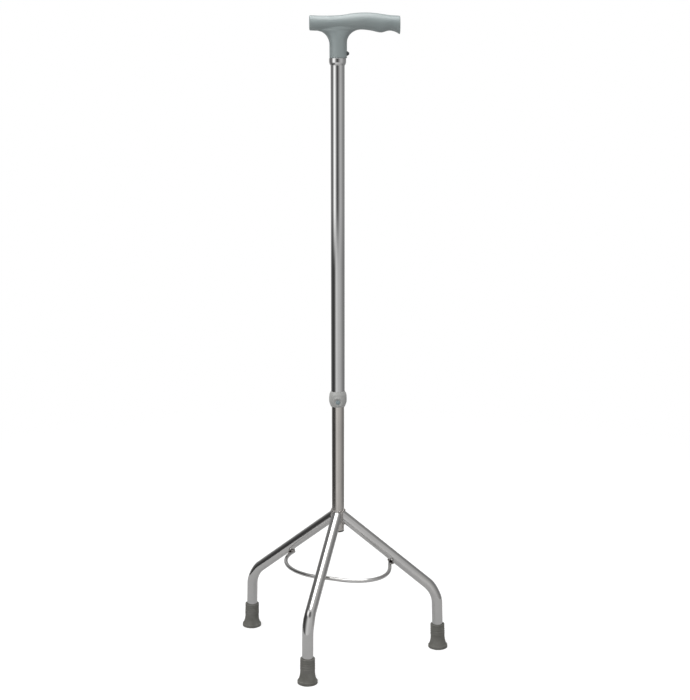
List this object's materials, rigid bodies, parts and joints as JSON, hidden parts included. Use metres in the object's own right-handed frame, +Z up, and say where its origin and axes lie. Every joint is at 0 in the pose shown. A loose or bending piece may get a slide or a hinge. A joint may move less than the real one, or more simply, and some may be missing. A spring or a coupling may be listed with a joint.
{
  "type": "walking cane",
  "caption": "Walking cane with a T-shaped finger-grooved grip, a telescoping steel column with snap-button height setting and a braced tripod base on rubber tips.",
  "frame": {"origin": "On the floor, on the axis of the column.", "axes": "+Z is up along the column. +X runs along the grip towards its grooved end, and the nose points to -X. The lone leg points roughly to -Y, turned 16.7 degrees towards -X."},
  "size_m": [0.3166, 0.2435, 0.938],
  "materials": {
    "grip_plastic": "moulded satin grey plastic",
    "column_chrome": "bright chromed tube",
    "stem_chrome": "chromed tube, slightly duller",
    "leg_chrome": "chromed bent tube and rod",
    "weld_metal": "plated weld bead",
    "collar_plastic": "grey moulded plastic",
    "bush_plastic": "nylon",
    "plug_plastic": "dark polyethylene",
    "bright_steel": "polished steel",
    "dark_steel": "dark coated steel",
    "spring_steel": "spring steel strip",
    "tip_rubber": "moulded grey rubber"
  },
  "bodies": {
    "base": {"lower_tube": "stem_chrome", "stem_plug": "plug_plastic", "leg_left": "leg_chrome", "leg_front": "leg_chrome", "leg_right": "leg_chrome", "hub_welds": "weld_metal", "brace_ring": "leg_chrome", "ring_welds": "weld_metal", "tip_left": "tip_rubber", "tip_front": "tip_rubber", "tip_right": "tip_rubber", "tip_washers": "spring_steel", "height_spring": "spring_steel"},
    "upper": {"upper_tube": "column_chrome", "lock_collar": "collar_plastic", "collar_bush": "bush_plastic", "collar_rivet": "bright_steel", "handle_grip": "grip_plastic", "handle_ferrule": "column_chrome", "handle_spring": "spring_steel"},
    "height_lock": {"height_button": "bright_steel"},
    "grip_lock": {"handle_button": "dark_steel"}
  },
  "joints": [
    {"name": "height_slide", "type": "slide", "parent": "base", "child": "upper", "axis": [0, 0, 1], "range_m": [-0.125, 0.025]},
    {"name": "height_button_press", "type": "slide", "parent": "base", "child": "height_lock", "axis": [0, -1, 0], "range_m": [0, 0.0038], "stiffness_N_per_m": 900, "deforming": ["height_spring"]},
    {"name": "grip_button_press", "type": "slide", "parent": "upper", "child": "grip_lock", "axis": [-1, 0, 0], "range_m": [0, 0.0068], "stiffness_N_per_m": 900, "deforming": ["handle_spring"]}
  ]
}
